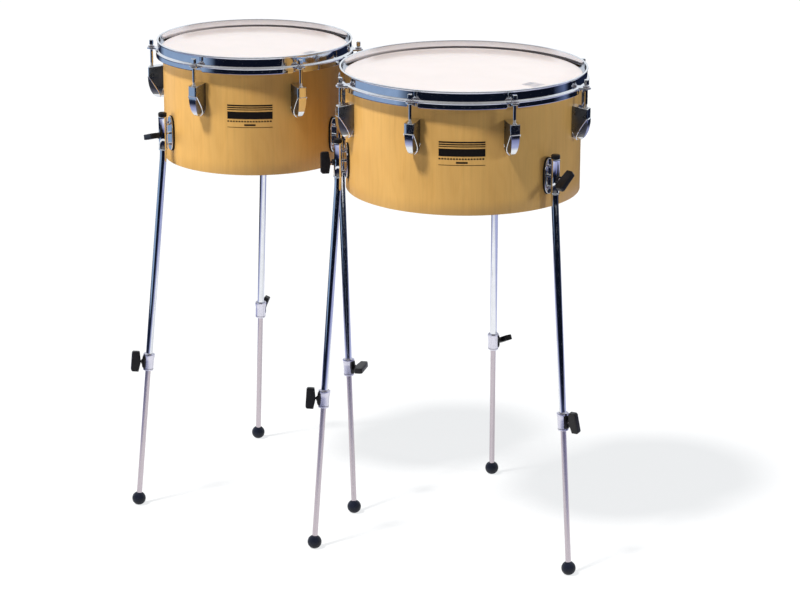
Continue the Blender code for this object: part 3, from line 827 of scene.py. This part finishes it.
def wing_screw(body, matrix, start):
    """Moulded block wing, with a shallow panel each side, on a steel pin."""
    def corners(shares):
        """Points from shares of the wing's depth and of its half length."""
        return [(start + WING_DEPTH * x, WING_HALF * z) for x, z in shares]

    neck = 0.0028
    outline = corners(((0.16, -1.0), (0.86, -1.0), (1.0, -0.86), (1.0, 0.86),
                       (0.86, 1.0), (0.16, 1.0)))
    bm = bmesh.new()
    prism(bm, [(start, -neck)] + outline + [(start, neck)], WING_THICK)
    piece(body + "_wing", bm, "plastic", body, matrix, (body,), bevel=0.0009, sharp=60)
    inset = corners(((0.28, -0.84), (0.78, -0.84), (0.86, -0.76), (0.86, 0.76),
                     (0.78, 0.84), (0.28, 0.84)))
    bm = bmesh.new()
    for side in (-1, 1):
        prism(bm, inset, 0.0004, Matrix.Translation((0, side * WING_THICK / 2, 0)))
    piece(body + "_panels", bm, "plastic", body, matrix, bevel=0.00015)
    crest, root, pitch = 0.0024, 0.0021, 0.0008
    z = pitch / 2
    profile = [(0, 0.0), (0.0020, 0.0), (crest, z)]
    while z < start:
        profile += [(root, z + pitch / 2), (crest, z + pitch)]
        z += pitch
    profile += [(crest, start + 0.002), (0, start + 0.002)]
    bm = bmesh.new()
    lathe(bm, profile, 16, matrix=axis_matrix((0, 0, 0), (1, 0, 0)))
    piece(body + "_pin", bm, "steel", body, matrix)


def leg(drum, side, radius, centre, spec):
    """One leg with its bracket and both wing screws."""
    angle, swivel, upper_turn, lower_turn, collar_turn = spec
    radial = at(*centre, 0, angle)
    bracket(drum, side, radius, radial)
    swivel_frame = radial @ at(radius + SLEEVE_OFFSET, 0, BEND_Z, swivel)
    upper_leg(drum, side, swivel_frame, collar_turn)
    lower_leg(drum, side, swivel_frame)
    tip = TUBE_R + SCREW_GAP
    wing_screw(f"{drum}_{side}_bracket_wing_screw",
               radial @ at(radius + SLEEVE_OFFSET + tip, 0, UPPER_WING_Z)
               @ Matrix.Rotation(math.radians(upper_turn), 4, "X"),
               UPPER_WING_START - tip)
    tip = LOWER_R + SCREW_GAP
    wing_screw(f"{drum}_{side}_collar_wing_screw",
               along_leg(swivel_frame, LOWER_WING_Z)
               @ Matrix.Rotation(math.radians(collar_turn), 4, "Z")
               @ Matrix.Translation((tip, 0, 0))
               @ Matrix.Rotation(math.radians(lower_turn), 4, "X"),
               LOWER_WING_START - tip)


# ------------------------------------------------------------ generic marks
def curved_patch(bm, radius, u0, u1, z0, z1, thick=0.00018):
    """Thin patch that follows the shell between two arc lengths."""
    n = max(2, int(abs(u1 - u0) / 0.003))
    rows = []
    for r in (radius - 0.0002, radius + thick):
        for z in (z0, z1):
            rows.append([bm.verts.new((r * math.cos(u / radius), r * math.sin(u / radius), z))
                         for u in (u0 + (u1 - u0) * k / n for k in range(n + 1))])
    a, b, c, d = rows
    for p, q in ((a, b), (b, d), (d, c), (c, a)):
        for k in range(n):
            bm.faces.new((p[k], p[k + 1], q[k + 1], q[k]))
    bm.faces.new((a[0], b[0], d[0], c[0]))
    bm.faces.new((a[-1], b[-1], d[-1], c[-1]))


def badge(drum, radius, centre, angle, half):
    """A plain printed block, rules and dashes: no lettering."""
    bm = bmesh.new()
    wide = 0.040
    scale = half / wide
    rules = ((wide, -0.0026, 0.0), (wide, -0.0062, -0.0042), (wide, -0.0096, -0.0080),
             (wide, -0.0255, -0.0125), (0.010, -0.0375, -0.0345), (wide, -0.0408, -0.0400))
    bars = [(-reach, reach, low, high) for reach, low, high in rules]
    for k in range(16):
        start = 0.005 * k - wide
        bars.append((start, start + 0.0032, -0.0310, -0.0285))
    for u0, u1, low, high in bars:
        curved_patch(bm, radius, u0 * scale, u1 * scale, BADGE_TOP + low, BADGE_TOP + high)
    piece(drum + "_printed_block", bm, "ink", drum + "_drum", at(*centre, 0, angle))


def head_mark(drum, radius, centre, angle, inset):
    """A small printed patch of plain arcs and dashes on the film."""
    bm = bmesh.new()
    z = RIM_TOP - FILM_DROP
    spread = 0.036 / radius
    # Each row: offset from the patch's middle, width, dashes and their inked share.
    rows = ((-0.0130, 0.0030, 1, 1.0), (-0.0060, 0.0070, 1, 1.0),
            (0.0015, 0.0030, 9, 0.6), (0.0080, 0.0050, 5, 0.8), (0.0140, 0.0022, 1, 1.0))
    for offset, width, count, fill in rows:
        middle = radius - inset + offset
        for k in range(count):
            a0 = spread * (k / count - 0.5)
            a1 = spread * ((k + fill) / count - 0.5)
            ring = []
            for r in (middle - width / 2, middle + width / 2):
                for a in (a0, (a0 + a1) / 2, a1):
                    ring.append((r * math.cos(a), r * math.sin(a)))
            order = [ring[0], ring[1], ring[2], ring[5], ring[4], ring[3]]
            low = [bm.verts.new((x, y, z - 0.0001)) for x, y in order]
            high = [bm.verts.new((x, y, z + 0.00012)) for x, y in order]
            bridge(bm, low, high)
            bm.faces.new(low)
            bm.faces.new(high)
    piece(drum + "_head_mark", bm, "mark", drum + "_drum", at(*centre, 0, angle))


# ------------------------------------------------------------------- assembly
for drum, d in DRUMS.items():
    radius, centre = d["radius"], d["centre"]
    shell(drum, radius, centre)
    head(drum, radius, centre)
    hoop(drum, radius, centre, d["lugs"])
    lugs(drum, radius, centre, d["lugs"])
    for number, angle in enumerate(d["lugs"], 1):
        tension_rod(drum, number, radius, centre, angle)
    for side, spec in d["legs"].items():
        leg(drum, side, radius, centre, spec)
    badge(drum, radius, centre, d["badge"], d["badge_half"])
    head_mark(drum, radius, centre, *d["mark"])


# ---------------------------------------------------- floor, light and camera
CAMERA_TURN = math.radians(31.8)        # the line of drums, across the view
CAMERA_BACK, CAMERA_LEFT, CAMERA_HEIGHT = 4.8084, 0.2622, 1.8274
CAMERA_PITCH, CAMERA_ROLL = 0.2964, 0.0023
SENSOR_WIDTH = 36.0                     # millimetres
FOCAL_WIDTHS = 3.3975                   # focal length over the frame's width

right = Vector((math.cos(CAMERA_TURN), math.sin(CAMERA_TURN), 0))
ahead = Vector((-math.sin(CAMERA_TURN), math.cos(CAMERA_TURN), 0))
up = Vector((0, 0, 1))


def stand(across, along, height):
    """A point given from the small drum's centre, in the viewer's directions."""
    base = Vector((SMALL_X, SHIFT_Y, 0))
    return base + right * across + ahead * along + up * height


def camera():
    """Level with the horizon but for a small roll, looking down at the drums."""
    data = bpy.data.cameras.new("camera")
    data.sensor_width = SENSOR_WIDTH
    data.lens = SENSOR_WIDTH * FOCAL_WIDTHS
    ob = bpy.data.objects.new("camera", data)
    bpy.context.scene.collection.objects.link(ob)
    forward = ahead * math.cos(CAMERA_PITCH) - up * math.sin(CAMERA_PITCH)
    upright = ahead * math.sin(CAMERA_PITCH) + up * math.cos(CAMERA_PITCH)
    c, s = math.cos(CAMERA_ROLL), math.sin(CAMERA_ROLL)
    across = right * c + upright * s
    upright = upright * c - right * s
    turn = Matrix((across, upright, -forward)).transposed().to_4x4()
    ob.matrix_world = Matrix.Translation(
        stand(CAMERA_LEFT, -CAMERA_BACK, CAMERA_HEIGHT)) @ turn
    bpy.context.scene.camera = ob


def lamp(name, place, aim, size, power, colour):
    """Rectangular light that neither the camera nor the plating shows."""
    data = bpy.data.lights.new(name, "AREA")
    data.shape, data.size, data.size_y = "RECTANGLE", size[0], size[1]
    data.energy, data.color = power, colour
    ob = bpy.data.objects.new(name, data)
    bpy.context.scene.collection.objects.link(ob)
    ob.location = place
    ob.rotation_mode = "QUATERNION"
    ob.rotation_quaternion = (Vector(aim) - Vector(place)).to_track_quat("-Z", "Y")
    ob.visible_camera = ob.visible_glossy = False


def flat_stage(name, bm, material, height):
    """Flat part of the set, turned as the camera is."""
    mesh = bpy.data.meshes.new(name)
    bm.to_mesh(mesh)
    bm.free()
    ob = bpy.data.objects.new(name, mesh)
    bpy.context.scene.collection.objects.link(ob)
    ob.matrix_world = at(0, 0, height, math.degrees(CAMERA_TURN))
    mesh.materials.append(material)
    return ob


def floor():
    """White sweep. It glows, so that shadows on it stay pale, but throws little
    of that glow on the drums."""
    bm = bmesh.new()
    bmesh.ops.create_grid(bm, x_segments=2, y_segments=2, size=60.0)
    g = Material("floor_white")
    glow, held_back = 0.80, -0.56
    diffuse = g.node("ShaderNodeLightPath").outputs["Is Diffuse Ray"]
    g.set(Base_Color=(0.20, 0.20, 0.205, 1.0), Roughness=0.9, Specular_IOR_Level=0.0,
          Emission_Color=(0.975, 0.99, 1.0, 1.0),
          Emission_Strength=g.math("MULTIPLY_ADD", diffuse, held_back, glow))
    flat_stage("floor", bm, g.material, -0.0002)


def surround():
    """What the plating mirrors round the drums: lilac close by on the right, then
    a dark room with a blue panel far to the left. Only mirror reflections see it."""
    bm = bmesh.new()
    rings, sides = [], 72
    for r in (0.85, 1.2, 1.7, 3.0, 9.0):
        rings.append([bm.verts.new((r * math.cos(2 * math.pi * k / sides),
                                    r * math.sin(2 * math.pi * k / sides), 0))
                      for k in range(sides)])
    for a, b in zip(rings, rings[1:]):
        bridge(bm, a, b)
    g = Material("surround")
    x, y, _ = g.split(g.place())
    bearing = g.math("ARCTAN2", x, g.math("MULTIPLY", y, -1.0))
    bearing = g.math("MULTIPLY_ADD", bearing, 0.5 / math.pi, 0.5)
    navy, black, blue = (0.010, 0.016, 0.040), (0.004, 0.006, 0.014), (0.30, 0.42, 0.62)
    dark = g.ramp(bearing, (0.0, navy), (0.33, navy), (0.40, black), (0.74, black),
                  (0.78, (0.12, 0.16, 0.30)), (0.80, black), (0.87, navy), (1.0, navy))
    panel = g.ramp(bearing, (0.10, grey(0.0)), (0.14, grey(1.0)), (0.33, grey(1.0)),
                   (0.37, grey(0.0)))
    lilac = (0.52, 0.54, 0.80)
    middle = g.ramp(bearing, (0.0, navy), (0.44, navy), (0.52, (0.03, 0.04, 0.10)),
                    (0.60, (0.20, 0.22, 0.46)), (0.68, lilac), (0.84, lilac),
                    (0.92, (0.10, 0.12, 0.25)), (1.0, navy))
    reach = g.reach(x, y)
    half_reach = g.math("MULTIPLY", reach, 0.5)
    close = g.ramp(half_reach, (0.43, (0.95, 0.95, 1.0)), (0.56, (0.46, 0.49, 0.76)))
    near = g.mix(g.ramp(half_reach, (0.62, grey(0.0)), (0.90, grey(1.0))), close, middle)
    quarter = g.math("MULTIPLY", reach, 0.25)
    edge = g.ramp(quarter, (0.50, grey(0.0)), (0.60, grey(1.0)))
    beyond = g.ramp(quarter, (0.65, grey(0.0)), (0.69, grey(1.0)))
    far = g.mix(g.math("MULTIPLY", panel, beyond), dark, (*blue, 1.0))
    g.set(Base_Color=(0, 0, 0, 1), Specular_IOR_Level=0.0, Roughness=1.0,
          Emission_Color=g.mix(edge, near, far), Emission_Strength=1.0)
    ob = flat_stage("surround", bm, g.material, 0.0002)
    ob.visible_camera = ob.visible_diffuse = ob.visible_shadow = False
    ob.visible_transmission = ob.visible_volume_scatter = False


def world():
    """White to the camera and dim for soft light. Mirrors see a white wall and
    ceiling behind the drums, and on the camera's side a dark room whose upper
    part is warm and dim."""
    w = bpy.data.worlds.new("studio")
    bpy.context.scene.world = w
    w.use_nodes = True
    g = Graph(w.node_tree)

    def held(value, slope, offset):
        """A straight ramp of the value, held between 0 and 1."""
        rise = g.math("MULTIPLY_ADD", value, slope, offset)
        return g.math("MINIMUM", g.math("MAXIMUM", rise, 0.0), 1.0)

    x, y, z = g.split(g.node("ShaderNodeTexCoord").outputs["Generated"])
    back = g.math("ADD", g.math("MULTIPLY", x, ahead.x), g.math("MULTIPLY", y, ahead.y))
    wall = g.math("MAXIMUM", g.math("MULTIPLY", back, 4.0), 0.0)
    wall = g.math("SMOOTH_MIN", wall, 1.0, 0.2)
    ceiling = g.math("MULTIPLY", held(z, 5.0, -3.3), held(back, 4.0, 1.0))
    lit = g.math("MAXIMUM", wall, ceiling)
    room = g.mix(held(z, 5.0, -0.6), (0.012, 0.016, 0.035, 1.0), (0.40, 0.375, 0.35, 1.0))
    mirror = g.mix(lit, room, (0.92, 0.96, 1.0, 1.0))
    ray = g.node("ShaderNodeLightPath").outputs
    seen = g.mix(ray["Is Glossy Ray"], (0.10, 0.102, 0.108, 1.0), mirror)
    seen = g.mix(ray["Is Camera Ray"], seen, (1.0, 1.0, 1.0, 1.0))
    background = w.node_tree.nodes["Background"]
    g.put(background.inputs["Color"], seen)
    g.put(background.inputs["Strength"], 1.0)


def sun(name, turn, height, strength, spread, colour):
    """Distant light; turn is degrees right of the camera, as the drums see it."""
    data = bpy.data.lights.new(name, "SUN")
    data.energy, data.angle, data.color = strength, spread, colour
    ob = bpy.data.objects.new(name, data)
    bpy.context.scene.collection.objects.link(ob)
    a, e = math.radians(turn), math.radians(height)
    source = (right * math.sin(a) - ahead * math.cos(a)) * math.cos(e) + up * math.sin(e)
    ob.rotation_mode = "QUATERNION"
    ob.rotation_quaternion = (-source).to_track_quat("-Z", "Y")
    ob.visible_glossy = False


def lights():
    """A high key light from the left and a soft lamp at each side."""
    aim = stand(0.25, 0.0, 0.6)
    sun("key", turn=-53.0, height=60.0, strength=4.3, spread=0.14,
        colour=(1.0, 0.975, 0.93))
    lamp("left", stand(-2.35, -0.45, 0.95), aim, size=(1.1, 0.9), power=32,
         colour=(1.0, 0.97, 0.92))
    lamp("right", stand(2.75, -1.15, 1.55), aim, size=(0.5, 0.5), power=22,
         colour=(0.86, 0.93, 1.0))


camera()
floor()
surround()
world()
lights()
bpy.context.scene.view_settings.view_transform = "Standard"
